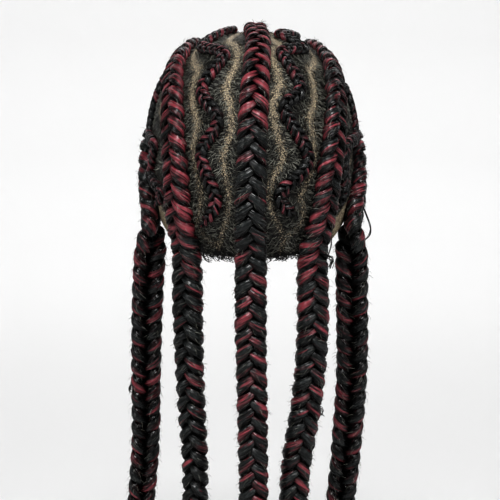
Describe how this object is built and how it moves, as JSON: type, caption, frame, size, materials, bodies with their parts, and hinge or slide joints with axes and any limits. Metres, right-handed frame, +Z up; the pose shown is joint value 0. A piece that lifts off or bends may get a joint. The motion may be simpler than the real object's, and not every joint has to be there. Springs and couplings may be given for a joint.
{
  "type": "braid wig",
  "caption": "Wig on a lace cap: thick raised cornrow braids that hang free below the nape, with small zigzag cornrows in the lanes between them.",
  "frame": {"origin": "inside of the cap's crown, where the wig sits on the top of a head", "axes": "+Z up along the head, -Y toward the face opening, +Y toward the nape, +X toward the wearer's left ear"},
  "size_m": [0.1918, 0.2068, 0.4622],
  "materials": {
    "cap": "black-brown hair laid over tan lace",
    "thick_braid": "black and burgundy synthetic hair with a soft sheen",
    "zigzag_braid": "black synthetic hair with some burgundy"
  },
  "bodies": {
    "root": {"lace_cap": "cap", "braid_center": "thick_braid", "braid_inner_left": "thick_braid", "braid_inner_right": "thick_braid", "braid_outer_left": "thick_braid", "braid_outer_right": "thick_braid", "zigzag_inner_left": "zigzag_braid", "zigzag_inner_right": "zigzag_braid", "zigzag_outer_left": "zigzag_braid", "zigzag_outer_right": "zigzag_braid"}
  },
  "joints": []
}
